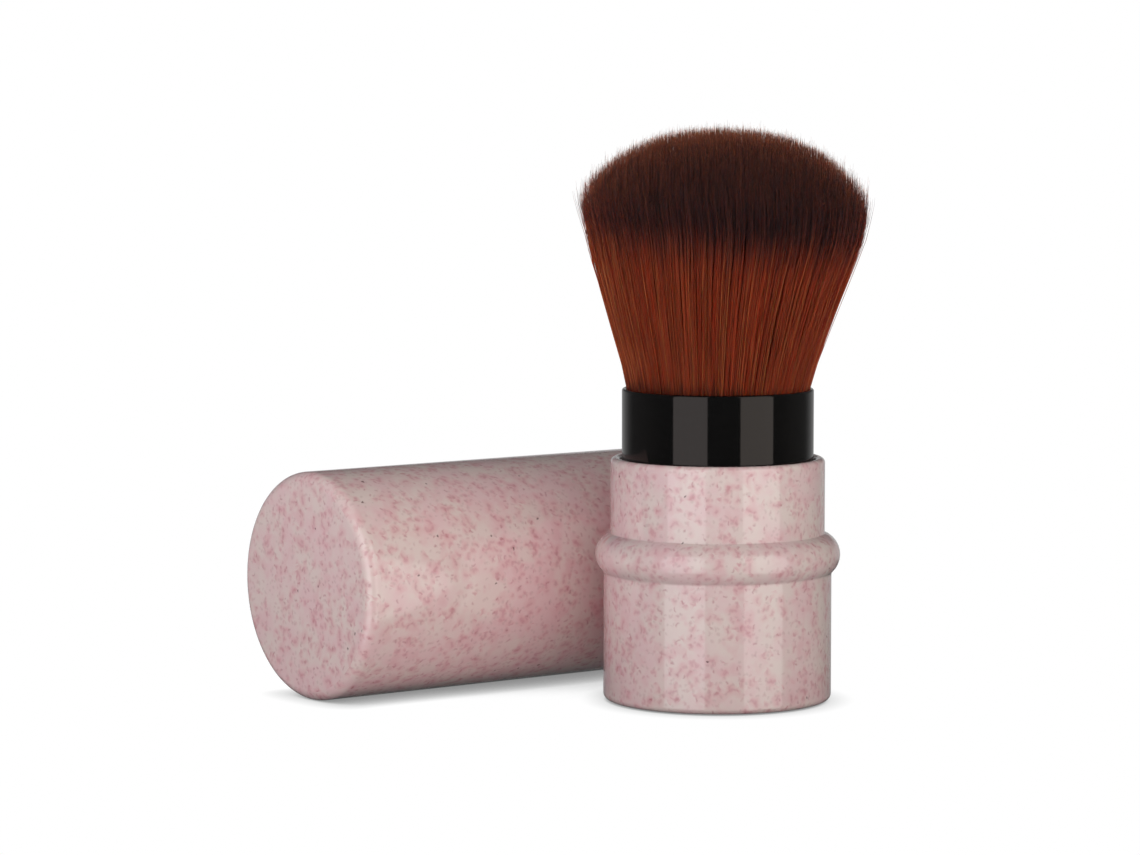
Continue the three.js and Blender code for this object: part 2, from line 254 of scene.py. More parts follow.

# The hair's map has a column for each shade, the last share of them golden as a painted glow. The shuffle
# gives a column its second chance value, and the inset keeps corners off the column's edges.
HAIR_SHADES = 256
HAIR_SHUFFLE = 0.37
HAIR_GLOW_SHARE = 0.2
BELOW_ONE = 0.999
MAP_INSET = 0.15
MAP_END_DROP = 0.004

# Painted glow: golden hairs stand only this far out, and only so many of those there are golden, as light
# shining through the head's edge
GLOW_OUTER_SHARE = 0.985
GLOW_CHANCE = 0.12

# Plastic: the shortest fleck's share of its length, and how far flecks wander from their cells
FLECK_LEAST_LENGTH = 0.35
FLECK_WANDER = 0.7

# Ferrule: hairline marks are a noise drawn out round the axis
HAIRLINE_STRETCH = (0.35, 0.35, 5.0)

# The cap's copy of the plastic is painted lighter than the sleeve's: painted light. Light that bounces off
# either takes on a tint
CAP_PAINTED_LIGHT = (1.1, 1.07, 1.07, 1.0)
SLEEVE_BOUNCE = (0.75, 0.0, 0.05, 1.0)
CAP_BOUNCE = (1.4, 1.25, 1.4, 1.0)

# Camera, fitted to the photograph
CAMERA_PLACE = Vector((-433.4, -537.1, 105.8))
CAMERA_TURN = math.radians(-36.97)
CAMERA_DROP = math.radians(5.19)
CAMERA_LENS = 138.94
CAMERA_SENSOR = 36.0
CAMERA_CLIP_START = 10.0
CAMERA_CLIP_END = 10000.0

# Soft boxes: two tall ones in front of the brush, placed by their turn from the camera's direction.
# They light gloss only. Their strength is in watts a square metre.
LIGHT_DISTANCE = 650.0
LIGHT_HEIGHT = 120.0
LIGHT_TALL = 1100.0
LIGHT_HALF_ANGLE = math.radians(21)
LIGHT_WIDE = 2 * LIGHT_DISTANCE * math.tan(LIGHT_HALF_ANGLE)
LIGHT_STRENGTH = 3.8
LEFT_TURN = math.radians(-35)
RIGHT_TURN = math.radians(46)
LEFT_COLOUR = (0.97, 0.97, 1.0)
RIGHT_COLOUR = (1.0, 0.98, 0.95)

# The room's light on matt surfaces: strongest from the front, weak from above, and a narrow light behind.
# Edges and cores are cosines to the camera's direction.
FILL_EVEN = 0.5
FILL_FRONT = 1.64
FILL_BACK = 3.5
FILL_BACK_EDGE = -0.85
FILL_BACK_CORE = -0.99
FILL_ZENITH = 0.15
FILL_LEFT_BIAS = 0.02
FILL_LEFT_TINT = (0.97, 0.97, 1.03, 1.0)
FILL_RIGHT_TINT = (1.03, 1.0, 0.94, 1.0)

# What gloss reflects of the room: dark in front, paler at the sides, and a low pale backdrop behind
GLOSS_FRONT = 0.02
GLOSS_FRONT_EDGE = 0.6
GLOSS_SIDES = 0.09
GLOSS_SIDES_EDGE = -0.3
GLOSS_BACKDROP = 0.4
BACKDROP_EDGE = -0.55
BACKDROP_CORE = -1.0
BACKDROP_FOOT = (-0.2, -0.12)
BACKDROP_HEAD = (0.2, 0.05)

# Floor, with a wide soft shadow and a narrow one at the contact
FLOOR_RADIUS = 180.0
FLOOR_STEPS = 96
FLOOR_WHITE = (236, 236, 236)
SHADE_SAMPLES = 16
SHADE_REACH = 30.0
SHADE_FREE = 0.28
SHADE_DARKEST = 0.47
CONTACT_REACH = 4.0
CONTACT_STRENGTH = 0.45


def put(tree, kind, inputs=None, **settings):
    """Adds a node. An input is a plain value or another node's output."""
    node = tree.nodes.new(kind)
    for name, value in settings.items():
        setattr(node, name, value)
    for name, value in (inputs or {}).items():
        socket = node.inputs[name]
        if isinstance(value, bpy.types.NodeSocket):
            tree.links.new(value, socket)
        else:
            socket.default_value = value
    return node


def maths(tree, operation, first, second=0.0, clamp=False):
    """The output of a Math node."""
    node = put(tree, "ShaderNodeMath", {0: first, 1: second}, operation=operation, use_clamp=clamp)
    return node.outputs[0]


def ramped(tree, value, low, high, to_low=0.0, to_high=1.0):
    """value, eased from to_low at low to to_high at high."""
    inputs = {"Value": value, "From Min": low, "From Max": high, "To Min": to_low, "To Max": to_high}
    return put(tree, "ShaderNodeMapRange", inputs, interpolation_type="SMOOTHSTEP").outputs[0]


def mixed(tree, share, first, second, blend="MIX"):
    """A colour mixed from first to second."""
    inputs = {"Factor": share, "A": first, "B": second}
    node = tree.nodes.new("ShaderNodeMix")
    node.data_type = "RGBA"
    node.blend_type = blend
    for socket in node.inputs:
        if socket.enabled and socket.name in inputs:
            value = inputs[socket.name]
            if isinstance(value, bpy.types.NodeSocket):
                tree.links.new(value, socket)
            else:
                socket.default_value = value
    return next(socket for socket in node.outputs if socket.enabled)


def srgb(red, green, blue):
    """A display colour of 0 to 255 as Blender's linear colour."""
    def linear(value):
        share = value / 255
        return share / 12.92 if share <= 0.04045 else ((share + 0.055) / 1.055) ** 2.4
    return (linear(red), linear(green), linear(blue), 1.0)


def new_material(name):
    """An empty material with its Principled shader."""
    material = bpy.data.materials.new(name)
    material.use_nodes = True
    tree = material.node_tree
    return material, tree, tree.nodes["Principled BSDF"]


def noise(tree, vector, scale, detail=2.0, roughness=0.5):
    """A noise texture's value. Its scale is in cycles a millimetre, or whatever unit vector has."""
    inputs = {"Vector": vector, "Scale": scale, "Detail": detail, "Roughness": roughness}
    return put(tree, "ShaderNodeTexNoise", inputs).outputs["Fac"]


def vectors(tree, operation, first, second):
    """The output of a Vector Math node."""
    return put(tree, "ShaderNodeVectorMath", {0: first, 1: second}, operation=operation).outputs[0]


def scaled(tree, vector, factor):
    """A vector times a number."""
    return put(tree, "ShaderNodeVectorMath", {0: vector, "Scale": factor}, operation="SCALE").outputs[0]


def bumped(tree, shader, height, strength, depth):
    """Gives the shader a bump of a depth in millimetres."""
    bump = put(tree, "ShaderNodeBump", {"Height": height, "Strength": strength, "Distance": depth * MM})
    tree.links.new(bump.outputs["Normal"], shader.inputs["Normal"])


def place_in_mm(tree):
    """The point on the piece, in millimetres in the frame's axes at rest."""
    return scaled(tree, put(tree, "ShaderNodeTexCoord").outputs["Object"], 1 / MM)


def flecks(tree, flat, shift, cell, half_length, width, bend, rarity):
    """Short curved dashes, at most one in each cell of the surface: 1 on a dash, 0 off it."""
    moved = vectors(tree, "ADD", flat, (shift, shift, 0.0))
    cells = put(
        tree, "ShaderNodeTexVoronoi", {"Vector": moved, "Scale": 1 / cell},
        voronoi_dimensions="2D", feature="F1",
    )
    away = vectors(tree, "SUBTRACT", moved, cells.outputs["Position"])
    chance = put(tree, "ShaderNodeSeparateColor", {"Color": cells.outputs["Color"]})
    turn = maths(tree, "MULTIPLY", chance.outputs["Red"], TAU)
    aligned = put(tree, "ShaderNodeVectorRotate", {"Vector": away, "Angle": turn}, rotation_type="Z_AXIS")
    place = put(tree, "ShaderNodeSeparateXYZ", {"Vector": aligned.outputs[0]})
    along = maths(tree, "ABSOLUTE", place.outputs["X"])
    curve = maths(tree, "MULTIPLY", maths(tree, "SUBTRACT", chance.outputs["Green"], 0.5), bend)
    sag = maths(tree, "MULTIPLY", curve, maths(tree, "MULTIPLY", along, along))
    across = maths(tree, "ABSOLUTE", maths(tree, "SUBTRACT", place.outputs["Y"], sag))
    own_share = maths(tree, "ADD", chance.outputs["Green"], FLECK_LEAST_LENGTH)
    own_length = maths(tree, "MULTIPLY", half_length, own_share)
    past_end = maths(tree, "MAXIMUM", maths(tree, "SUBTRACT", along, own_length), 0.0)
    past_end_square = maths(tree, "MULTIPLY", past_end, past_end)
    across_square = maths(tree, "MULTIPLY", across, across)
    gap = maths(tree, "SQRT", maths(tree, "ADD", past_end_square, across_square))
    there = maths(tree, "GREATER_THAN", chance.outputs["Blue"], rarity)
    return maths(tree, "MULTIPLY", ramped(tree, gap, width, 0.0), there)


def with_flecks(tree, place, colour):
    """The colour with soft rose fibres in paler halos, crowded in places, and a few dark specks."""
    flat = put(tree, "ShaderNodeUVMap", uv_map="pattern").outputs["UV"]
    crowd = noise(tree, place, scale=0.3, detail=2.0, roughness=0.6)
    seldom = ramped(tree, crowd, low=0.34, high=0.66, to_low=0.9, to_high=0.34)
    often = ramped(tree, crowd, low=0.3, high=0.7, to_low=0.8, to_high=0.3)
    wander = put(tree, "ShaderNodeTexNoise", {"Vector": place, "Scale": 1.3, "Detail": 2.0}).outputs["Color"]
    pull = vectors(tree, "SUBTRACT", wander, (0.5, 0.5, 0.5))
    warped = vectors(tree, "ADD", flat, scaled(tree, pull, FLECK_WANDER))
    # Each layer: shift, cell, half length, width, bend, rarity, tint and strength. Two wide halos come first.
    layers = [
        (31.0, 1.5, 0.22, 1.1, 1.8, seldom, (210, 160, 164), 0.42),
        (83.0, 3.4, 0.6, 1.3, 1.1, 0.5, (206, 156, 160), 0.42),
        (5.0, 1.05, 0.10, 0.36, 0.8, often, (180, 150, 148), 0.32),
        (31.0, 1.5, 0.18, 0.44, 1.8, seldom, (180, 124, 130), 0.29),
        (57.0, 1.25, 0.12, 0.36, 1.8, seldom, (180, 120, 127), 0.27),
        (83.0, 3.4, 0.5, 0.4, 1.1, 0.5, (178, 114, 122), 0.27),
        (47.0, 2.6, 0.2, 0.28, 1.4, 0.62, (164, 96, 104), 0.42),
        (19.0, 6.5, 0.10, 0.24, 0.5, 0.8, (84, 58, 58), 0.85),
    ]
    for *shape, tint, strength in layers:
        mark = flecks(tree, warped, *shape)
        colour = mixed(tree, maths(tree, "MULTIPLY", mark, strength), colour, srgb(*tint))
    return colour


def speckled_plastic(name, tone, bounce):
    """Glossy pale plastic, cloudy and flecked, its colour times tone, which paints light on it where it is
    not white. Light that bounces off it takes on a tint.
    """
    material, tree, shader = new_material(name)
    place = place_in_mm(tree)
    cloud = noise(tree, place, scale=0.17, detail=3.0, roughness=0.55)
    patch = noise(tree, place, scale=0.42, detail=2.0, roughness=0.5)
    cloudy = ramped(tree, cloud, low=0.36, high=0.66)
    patched = ramped(tree, patch, low=0.48, high=0.74, to_high=0.5)
    colour = mixed(tree, cloudy, srgb(214, 198, 192), srgb(215, 187, 187))
    colour = mixed(tree, patched, colour, srgb(210, 169, 172))
    colour = with_flecks(tree, place, colour)
    # Painted light: tone lightens the colour where it is not white, as on the cap
    colour = mixed(tree, 1.0, colour, tone, "MULTIPLY")
    bounced = put(tree, "ShaderNodeLightPath").outputs["Is Diffuse Ray"]
    colour = mixed(tree, bounced, colour, mixed(tree, 1.0, colour, bounce, "MULTIPLY"))
    tree.links.new(colour, shader.inputs["Base Color"])
    haze = noise(tree, place, scale=0.8, detail=4.0, roughness=0.6)
    sheen = ramped(tree, haze, low=0.3, high=0.7, to_low=0.07, to_high=0.13)
    tree.links.new(sheen, shader.inputs["Roughness"])
    shader.inputs["IOR"].default_value = 1.5
    shader.inputs["Coat Weight"].default_value = 0.6
    shader.inputs["Coat Roughness"].default_value = 0.035
    bumped(tree, shader, noise(tree, place, scale=0.35), strength=0.06, depth=0.15)
    return material


def gloss_black(name):
    """Lacquered black metal with faint hairline marks round it."""
    material, tree, shader = new_material(name)
    stretched = vectors(tree, "MULTIPLY", place_in_mm(tree), HAIRLINE_STRETCH)
    lines = noise(tree, stretched, scale=1.0, detail=3.0, roughness=0.6)
    shade = mixed(tree, ramped(tree, lines, low=0.35, high=0.7), srgb(12, 12, 12), srgb(16, 16, 16))
    tree.links.new(shade, shader.inputs["Base Color"])
    sheen = ramped(tree, lines, low=0.3, high=0.75, to_low=0.045, to_high=0.09)
    tree.links.new(sheen, shader.inputs["Roughness"])
    shader.inputs["IOR"].default_value = 1.45
    shader.inputs["Specular Tint"].default_value = (1.0, 0.88, 0.82, 1.0)
    bumped(tree, shader, lines, strength=0.03, depth=0.05)
    return material


def satin_black(name):
    """Moulded black plastic with a fine grain."""
    material, tree, shader = new_material(name)
    grain = noise(tree, place_in_mm(tree), scale=3.0, detail=4.0, roughness=0.6)
    shade = mixed(tree, ramped(tree, grain, low=0.3, high=0.7), srgb(24, 24, 25), srgb(34, 33, 34))
    tree.links.new(shade, shader.inputs["Base Color"])
    sheen = ramped(tree, grain, low=0.3, high=0.7, to_low=0.32, to_high=0.5)
    tree.links.new(sheen, shader.inputs["Roughness"])
    bumped(tree, shader, grain, strength=0.12, depth=0.05)
    return material


def turned_steel(name):
    """Steel with the rings that turning leaves."""
    material, tree, shader = new_material(name)
    inputs = {"Vector": place_in_mm(tree), "Scale": 1.4, "Distortion": 0.6, "Detail": 2.0}
    rings = put(tree, "ShaderNodeTexWave", inputs, wave_type="RINGS", rings_direction="Z").outputs["Fac"]
    shade = mixed(tree, rings, srgb(150, 152, 156), srgb(178, 180, 184))
    tree.links.new(shade, shader.inputs["Base Color"])
    shader.inputs["Metallic"].default_value = 1.0
    sheen = ramped(tree, rings, low=0.0, high=1.0, to_low=0.24, to_high=0.38)
    tree.links.new(sheen, shader.inputs["Roughness"])
    bumped(tree, shader, rings, strength=0.15, depth=0.03)
    return material


def black_rubber(name):
    """Matt rubber with a dusty bloom."""
    material, tree, shader = new_material(name)
    bloom = noise(tree, place_in_mm(tree), scale=1.2, detail=4.0, roughness=0.65)
    shade = mixed(tree, ramped(tree, bloom, low=0.4, high=0.75), srgb(26, 26, 27), srgb(48, 47, 47))
    tree.links.new(shade, shader.inputs["Base Color"])
    sheen = ramped(tree, bloom, low=0.3, high=0.7, to_low=0.7, to_high=0.9)
    tree.links.new(sheen, shader.inputs["Roughness"])
    return material


def knot_resin(name):
    """Dark amber glue with small lumps between the bristle roots."""
    material, tree, shader = new_material(name)
    lumps = noise(tree, place_in_mm(tree), scale=1.6, detail=3.0, roughness=0.6)
    shade = mixed(tree, ramped(tree, lumps, low=0.35, high=0.7), srgb(38, 15, 9), srgb(72, 32, 18))
    tree.links.new(shade, shader.inputs["Base Color"])
    shader.inputs["Roughness"].default_value = 0.5
    bumped(tree, shader, lumps, strength=0.4, depth=0.2)
    return material


def dye_share(height):
    """How far up a bristle's map a height lies, below the tips' part of it."""
    base = KNOT_TOP - HAIR_SUNK
    return DYE_MAP_SHARE * (height - base) / (DYE_HEIGHT + DYE_REACH - base)


def two_tone_hair(name):
    """Nylon hair by its map: across is each hair's own shade, the last columns a painted golden glow, and up
    is painted shade above the rim, the dye, then the tip, painted redder as glow.
    """
    material, tree, shader = new_material(name)
    flat = put(tree, "ShaderNodeUVMap", uv_map="OFBake").outputs["UV"]
    split = put(tree, "ShaderNodeSeparateXYZ", {"Vector": flat})
    rise = split.outputs["Y"]
    column = maths(tree, "FLOOR", maths(tree, "MULTIPLY", split.outputs["X"], HAIR_SHADES))
    own = maths(tree, "DIVIDE", column, HAIR_SHADES * (1 - HAIR_GLOW_SHARE))
    other = maths(tree, "FRACT", maths(tree, "MULTIPLY", column, HAIR_SHUFFLE))
    golden = maths(tree, "GREATER_THAN", own, 1.0)
    rust = mixed(tree, own, srgb(122, 35, 17), srgb(170, 58, 26))
    rust = mixed(tree, maths(tree, "MULTIPLY", other, 0.55), rust, srgb(150, 78, 40))
    # Golden outer hairs: a painted glow of light shining through the head's edge
    rust = mixed(tree, golden, rust, srgb(170, 88, 44))
    rim_shade_top = dye_share(FERRULE_TOP + RIM_SHADE_RISE)
    shaded = ramped(tree, rise, rim_shade_top, dye_share(FERRULE_TOP), 0.0, RIM_SHADE)
    rust = mixed(tree, shaded, rust, srgb(70, 26, 16))
    dark = mixed(tree, maths(tree, "POWER", other, 2.5), srgb(34, 23, 27), srgb(108, 50, 42))
    # The tip colour is a painted glow of light shining through the thin ends
    tip = mixed(tree, maths(tree, "POWER", other, 2.0), srgb(50, 28, 28), srgb(178, 86, 66))
    dyed = ramped(tree, rise, dye_share(DYE_HEIGHT - DYE_FADE), dye_share(DYE_HEIGHT + DYE_FADE))
    colour = mixed(tree, dyed, rust, dark)
    colour = mixed(tree, ramped(tree, rise, TIP_MAP_START, 1.0), colour, tip)
    tree.links.new(colour, shader.inputs["Base Color"])
    sheen = ramped(tree, other, low=0.0, high=1.0, to_low=0.42, to_high=0.58)
    tree.links.new(sheen, shader.inputs["Roughness"])
    shader.inputs["IOR"].default_value = 1.5
    shader.inputs["Specular IOR Level"].default_value = 0.3
    shader.inputs["Subsurface Weight"].default_value = 0.6
    shader.inputs["Subsurface Radius"].default_value = (1.0, 0.3, 0.12)
    shader.inputs["Subsurface Scale"].default_value = 0.3 * MM
    return material


def rounded(corners, closed):
    """Points of an outline of (radius, height, rounding) corners, with each corner's arc drawn."""
    points = []
    count = len(corners)
    for i, (radius, height, rounding) in enumerate(corners):
        corner = Vector((radius, height))
        if rounding == 0 or (not closed and i in (0, count - 1)):
            points.append(corner)
            continue
        before = (Vector(corners[i - 1][:2]) - corner).normalized()
        after = (Vector(corners[(i + 1) % count][:2]) - corner).normalized()
        half = before.angle(after) / 2
        centre = corner + (before + after).normalized() * rounding / math.sin(half)
        start = corner + before * rounding / math.tan(half) - centre
        sweep = before.angle_signed(-after)
        steps = max(2, math.ceil(abs(sweep) / ROUND_STEP))
        for step in range(steps + 1):
            points.append(centre + Matrix.Rotation(-sweep * step / steps, 2) @ start)
    return points


def arc(radius, height, bend, start, end):
    """Corners along an arc about one point of an outline, from one turn to another."""
    steps = math.ceil(abs(end - start) / ROUND_STEP)
    turns = [start + (end - start) * step / steps for step in range(steps + 1)]
    return [(radius + bend * math.cos(turn), height + bend * math.sin(turn), 0) for turn in turns]


def turned_rows(points, closed):
    """Corners of a turned piece, and the row of them at each outline point: one corner on the axis."""
    vertices = []
    rows = []
    for i, point in enumerate(points):
        if closed and i == len(points) - 1:
            rows.append(rows[0])
            continue
        size = 1 if point.x < ON_AXIS else TURN_STEPS
        rows.append([len(vertices) + k for k in range(size)])
        for k in range(size):
            turn = TAU * k / TURN_STEPS
            vertices.append((point.x * math.cos(turn), point.x * math.sin(turn), point.y))
    return vertices, rows


def turned_faces(points, rows, reach):
    """Faces of a turned piece, with the pattern's map in millimetres and the bake's map in shares."""
    widest = max(point.x for point in points)
    faces = []
    pattern = []
    bake = []
    for i, (low, high) in enumerate(zip(points, points[1:])):
        level = abs(high.y - low.y) < LEVEL_SLOPE * abs(high.x - low.x)
        for k in range(TURN_STEPS):
            face = []
            for row, column in ((i, k), (i, k + 1), (i + 1, k + 1), (i + 1, k)):
                index = rows[row][column % len(rows[row])]
                if index in face:
                    continue
                turn = TAU * column / TURN_STEPS
                face.append(index)
                if level:
                    pattern.append((points[row].x * math.cos(turn), points[row].x * math.sin(turn)))
                else:
                    pattern.append((turn * widest + 2 * widest, reach[row]))
                bake.append((column / TURN_STEPS, reach[row] / reach[-1]))
            faces.append(face)
    return faces, pattern, bake


def turned(name, corners, closed=False, material=None):
    """A piece turned about Z from an outline drawn bottom, outside, top, inside."""
    points = rounded(corners, closed)
    if closed:
        points.append(points[0])
    reach = [0.0]
    for first, second in zip(points, points[1:]):
        reach.append(reach[-1] + (second - first).length)
    vertices, rows = turned_rows(points, closed)
    faces, pattern, bake = turned_faces(points, rows, reach)
    mesh = bpy.data.meshes.new(name)
    mesh.from_pydata([tuple(MM * value for value in vertex) for vertex in vertices], [], faces)
    for layer_name, values in (("OFBake", bake), ("pattern", pattern)):
        layer = mesh.uv_layers.new(name=layer_name)
        layer.data.foreach_set("uv", np.array(values, float).ravel())
    finish_mesh(mesh)
    return as_object(name, mesh, material)


def finish_mesh(mesh):
    """Smooth shading, with the corners kept crisp."""
    mesh.polygons.foreach_set("use_smooth", [True] * len(mesh.polygons))
    mesh.set_sharp_from_angle(angle=SHARP_ANGLE)
    mesh.validate()


def as_object(name, mesh, material):
    piece = bpy.data.objects.new(name, mesh)
    bpy.context.scene.collection.objects.link(piece)
    if material:
        mesh.materials.append(material)
    return piece


def bar(inner, outer, width, bottom, top, turn):
    """A bar that stands out from the axis, used to join or cut."""
    corners = [
        (x, y, z)
        for z in (bottom, top)
        for x, y in ((inner, -width / 2), (outer, -width / 2), (outer, width / 2), (inner, width / 2))
    ]
    faces = [(3, 2, 1, 0), (4, 5, 6, 7), (0, 1, 5, 4), (1, 2, 6, 5), (2, 3, 7, 6), (3, 0, 4, 7)]
    mesh = bpy.data.meshes.new("bar")
    mesh.from_pydata([tuple(MM * value for value in corner) for corner in corners], [], faces)
    mesh.transform(Matrix.Rotation(turn, 4, "Z"))
    return as_object("bar", mesh, None)


def combined(piece, tool, operation):
    """Joins tool to piece, or cuts it away, and removes tool."""
    modifier = piece.modifiers.new("cut", "BOOLEAN")
    modifier.operation = operation
    modifier.solver = "EXACT"
    modifier.object = tool
    bpy.context.view_layer.update()
    graph = bpy.context.evaluated_depsgraph_get()
    mesh = bpy.data.meshes.new_from_object(piece.evaluated_get(graph))
    piece.modifiers.clear()
    piece.data = mesh
    bpy.data.objects.remove(tool)
    finish_mesh(mesh)


def key_turns():
    return [TAU * i / KEY_COUNT for i in range(KEY_COUNT)]


def bead_corners():
    """The bead's outline from the wall below it to the collar above."""
    lower = arc(SLEEVE_RADIUS + BEAD_COVE, COVE_HEIGHT, BEAD_COVE, math.pi, COVE_TURN)
    crown = arc(BEAD_CENTRE_RADIUS, BEAD_HEIGHT, BEAD_ROUND, COVE_TURN - math.pi, UPPER_COVE_TURN)
    upper = arc(UPPER_COVE_RADIUS, UPPER_COVE_HEIGHT, BEAD_UPPER_COVE, UPPER_COVE_TURN + math.pi, math.pi)
    return lower + crown[1:-1] + upper


def make_sleeve(material):
    sleeve = turned("outer_sleeve_visual", [
        (BORE_RADIUS, SLEEVE_FLOOR_GAP, SMALL_EDGE),
        (SLEEVE_RADIUS, SLEEVE_FLOOR_GAP, SLEEVE_EDGE),
        *bead_corners(),
        (COLLAR_RADIUS, COLLAR_TOP, COLLAR_LIP_OUTER),
        (COLLAR_BORE_RADIUS, COLLAR_TOP, COLLAR_LIP_INNER),
        (COLLAR_BORE_RADIUS, SHOULDER_HEIGHT, SMALL_EDGE),
        (BORE_RADIUS, SHOULDER_HEIGHT, SMALL_EDGE),
    ], closed=True, material=material)
    groove_radius = PISTON_RADIUS + KEY_RISE + KEY_GAP
    groove_width = KEY_WIDTH + 2 * KEY_GAP
    groove_top = SHOULDER_HEIGHT - SMALL_EDGE
    for turn in key_turns():
        tool = bar(FERRULE_RADIUS, groove_radius, groove_width, -SLEEVE_FLOOR_GAP, groove_top, turn)
        combined(sleeve, tool, "DIFFERENCE")
    return sleeve


def make_retainer(material):
    bottom = SLEEVE_FLOOR_GAP + RETAINER_RECESS
    top = bottom + RETAINER_TALL
    outer = BORE_RADIUS - PRESS_GAP
    return turned("retaining_ring_visual", [
        (RETAINER_BORE_RADIUS, bottom, SMALL_EDGE),
        (outer, bottom, SMALL_EDGE),
        (outer, top, SMALL_EDGE),
        (RETAINER_BORE_RADIUS, top, SMALL_EDGE),
    ], closed=True, material=material)


def make_core(material):
    groove_half = FRICTION_RING_THICK / 2 + PRESS_GAP
    groove_radius = PISTON_RADIUS - FRICTION_RING_THICK - PRESS_GAP
    web_top = WEB_BOTTOM + WEB_THICK
    core = turned("core_tube_visual", [
        (CORE_BORE_RADIUS, CORE_BOTTOM, SMALL_EDGE),
        (FERRULE_RADIUS, CORE_BOTTOM, SMALL_EDGE),
        (FERRULE_RADIUS, PISTON_BOTTOM, SMALL_EDGE),
        (PISTON_RADIUS, PISTON_BOTTOM, SMALL_EDGE),
        (PISTON_RADIUS, RING_MIDDLE - groove_half, 0),
        (groove_radius, RING_MIDDLE - groove_half, SMALL_EDGE),
        (groove_radius, RING_MIDDLE + groove_half, SMALL_EDGE),
        (PISTON_RADIUS, RING_MIDDLE + groove_half, 0),
        (PISTON_RADIUS, PISTON_TOP, SMALL_EDGE),
        (FERRULE_RADIUS, PISTON_TOP, SMALL_EDGE),
        (FERRULE_RADIUS, CORE_SHOULDER, SMALL_EDGE),
        (KNOT_RADIUS, CORE_SHOULDER, SMALL_EDGE),
        (KNOT_RADIUS, CORE_SPIGOT_TOP, SMALL_EDGE),
        (CORE_BORE_RADIUS, CORE_SPIGOT_TOP, SMALL_EDGE),
        (CORE_BORE_RADIUS, web_top, SMALL_EDGE),
        (SCREW_HOLE_RADIUS, web_top, SMALL_EDGE),
        (SCREW_HOLE_RADIUS, WEB_BOTTOM, SMALL_EDGE),
        (CORE_BORE_RADIUS, WEB_BOTTOM, SMALL_EDGE),
    ], closed=True, material=material)
    for turn in key_turns():
        top = RING_MIDDLE - groove_half
        tool = bar(FERRULE_RADIUS - KEY_ROOT, PISTON_RADIUS + KEY_RISE, KEY_WIDTH, PISTON_BOTTOM, top, turn)
        combined(core, tool, "UNION")
    return core


def make_friction_ring(material):
    half = FRICTION_RING_THICK / 2
    low, high = RING_MIDDLE - half, RING_MIDDLE + half
    inner = PISTON_RADIUS - FRICTION_RING_THICK
    soft = FRICTION_RING_ROUND * half
    return turned("friction_ring_visual", [
        (inner, low, soft),
        (PISTON_RADIUS, low, soft),
        (PISTON_RADIUS, high, soft),
        (inner, high, soft),
    ], closed=True, material=material)


def make_ferrule(material):
    return turned("ferrule_visual", [
        (FERRULE_BORE_RADIUS, FERRULE_BOTTOM, SMALL_EDGE),
        (FERRULE_RADIUS, FERRULE_BOTTOM, SMALL_EDGE),
        (FERRULE_RADIUS, FERRULE_TOP, FERRULE_CURL),
        (FERRULE_BORE_RADIUS, FERRULE_TOP, FERRULE_CURL),
    ], closed=True, material=material)


def make_foot(material):
    spigot_bore = INNER_FIT_RADIUS - FOOT_SPIGOT_WALL
    return turned("end_plate_visual", [
        (0, 0, 0),
        (FERRULE_RADIUS, 0, FOOT_EDGE),
        (FERRULE_RADIUS, FOOT_THICK, SMALL_EDGE),
        (INNER_FIT_RADIUS, FOOT_THICK, SMALL_EDGE),
        (INNER_FIT_RADIUS, FOOT_SPIGOT_TOP, SMALL_EDGE),
        (spigot_bore, FOOT_SPIGOT_TOP, SMALL_EDGE),
        (spigot_bore, FOOT_THICK, SMALL_EDGE),
        (0, FOOT_THICK, 0),
    ], material=material)


def make_weight(material):
    bottom = WEIGHT_TOP - WEIGHT_TALL
    return turned("weight_ring_visual", [
        (WEIGHT_BORE, bottom, SMALL_EDGE),
        (INNER_FIT_RADIUS, bottom, SMALL_EDGE),
        (INNER_FIT_RADIUS, WEIGHT_TOP, SMALL_EDGE),
        (WEIGHT_BORE, WEIGHT_TOP, SMALL_EDGE),
    ], closed=True, material=material)


def make_screw(material):
    head_top = WEB_BOTTOM - SEAT_GAP
    head_bottom = head_top - SCREW_HEAD_TALL
    return turned("holder_screw_visual", [
        (0, head_bottom + SCREW_SOCKET_DEEP, 0),
        (SCREW_SOCKET_RADIUS, head_bottom + SCREW_SOCKET_DEEP, 0),
        (SCREW_SOCKET_RADIUS, head_bottom, SMALL_EDGE),
        (SCREW_HEAD_RADIUS, head_bottom, SMALL_EDGE),
        (SCREW_HEAD_RADIUS, head_top, SMALL_EDGE),
        (SCREW_RADIUS, head_top, SMALL_EDGE),
        (SCREW_RADIUS, head_top + SCREW_REACH, SMALL_EDGE),
        (0, head_top + SCREW_REACH, 0),
    ], material=material)


def make_holder(material):
    boss_bottom = WEB_BOTTOM + WEB_THICK + SEAT_GAP
    hole_top = WEB_BOTTOM + SCREW_REACH
    ceiling = PLATE_BOTTOM - HOLDER_CEILING
    skirt_bottom = PLATE_BOTTOM - HOLDER_SKIRT_TALL
    skirt_bore = INNER_FIT_RADIUS - HOLDER_SKIRT_WALL
    return turned("bristle_holder_visual", [
        (0, hole_top, 0),
        (SCREW_HOLE_RADIUS, hole_top, 0),
        (SCREW_HOLE_RADIUS, boss_bottom, SMALL_EDGE),
        (HOLDER_BOSS_RADIUS, boss_bottom, SMALL_EDGE),
        (HOLDER_BOSS_RADIUS, ceiling, SMALL_EDGE),
        (skirt_bore, ceiling, SMALL_EDGE),
        (skirt_bore, skirt_bottom, SMALL_EDGE),
        (INNER_FIT_RADIUS, skirt_bottom, SMALL_EDGE),
        (INNER_FIT_RADIUS, PLATE_BOTTOM, 0),
        (KNOT_RADIUS, PLATE_BOTTOM, SMALL_EDGE),
        (KNOT_RADIUS, PLATE_TOP, SMALL_EDGE),
        (0, PLATE_TOP, 0),
    ], material=material)


